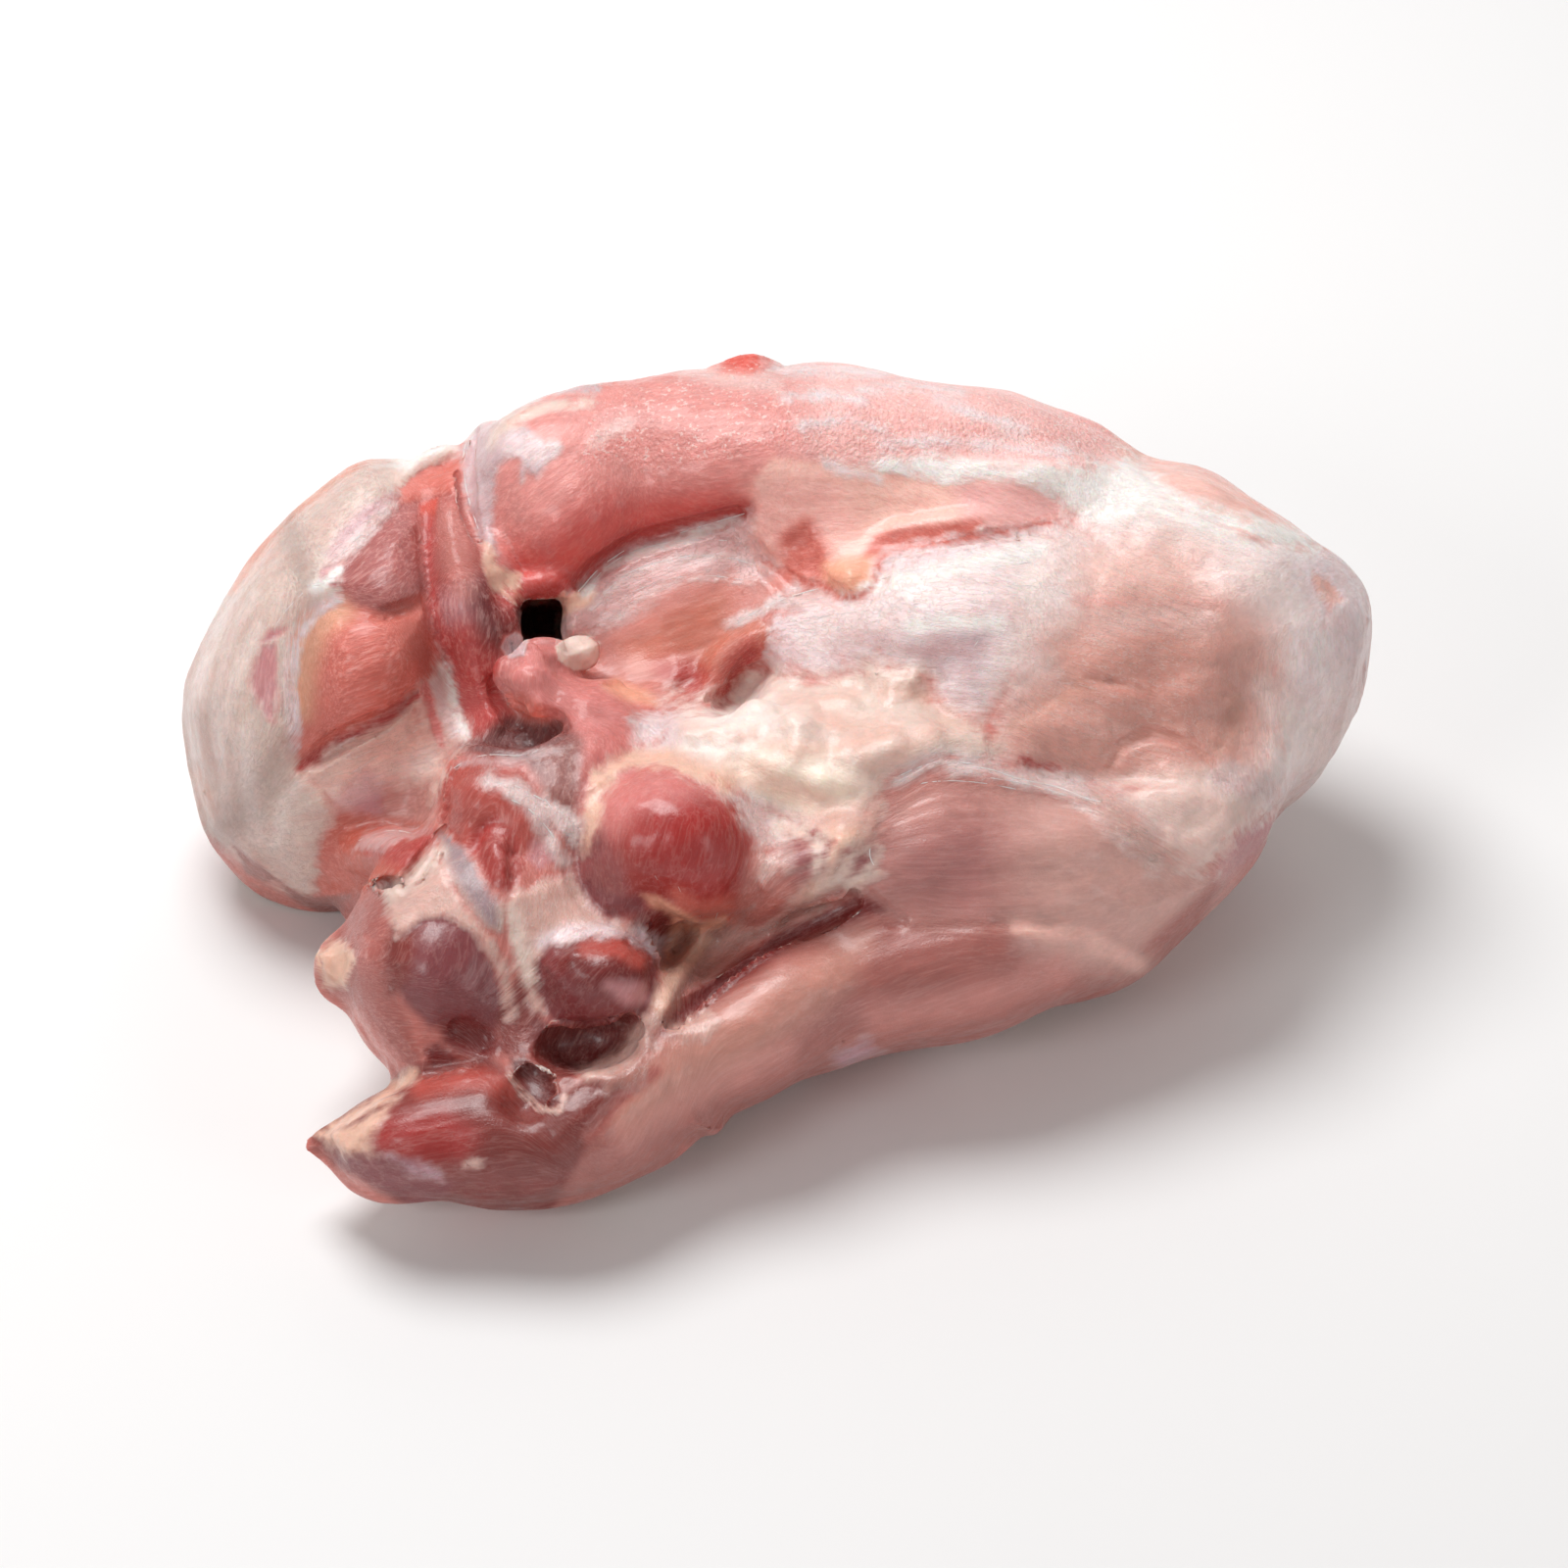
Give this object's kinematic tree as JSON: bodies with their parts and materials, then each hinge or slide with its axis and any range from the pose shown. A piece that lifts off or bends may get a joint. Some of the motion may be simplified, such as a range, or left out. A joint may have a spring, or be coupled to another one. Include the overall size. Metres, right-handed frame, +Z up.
{
  "type": "boneless pork joint",
  "caption": "Raw boned and skinned pork joint, a thick bundle of rounded muscles with white membrane and cream fat, resting on a flat side.",
  "frame": {"origin": "middle of the joint's base, on the surface that it rests on", "axes": "+X along the joint's length, towards its blunt end, with the cut shank end at -X; +Y away from the cut side; +Z up"},
  "size_m": [0.2766, 0.2086, 0.1107],
  "materials": {
    "raw_pork": "moist raw meat: pink muscle, white membrane and cream fat"
  },
  "bodies": {
    "root": {"pork_joint": "raw_pork"}
  },
  "joints": []
}
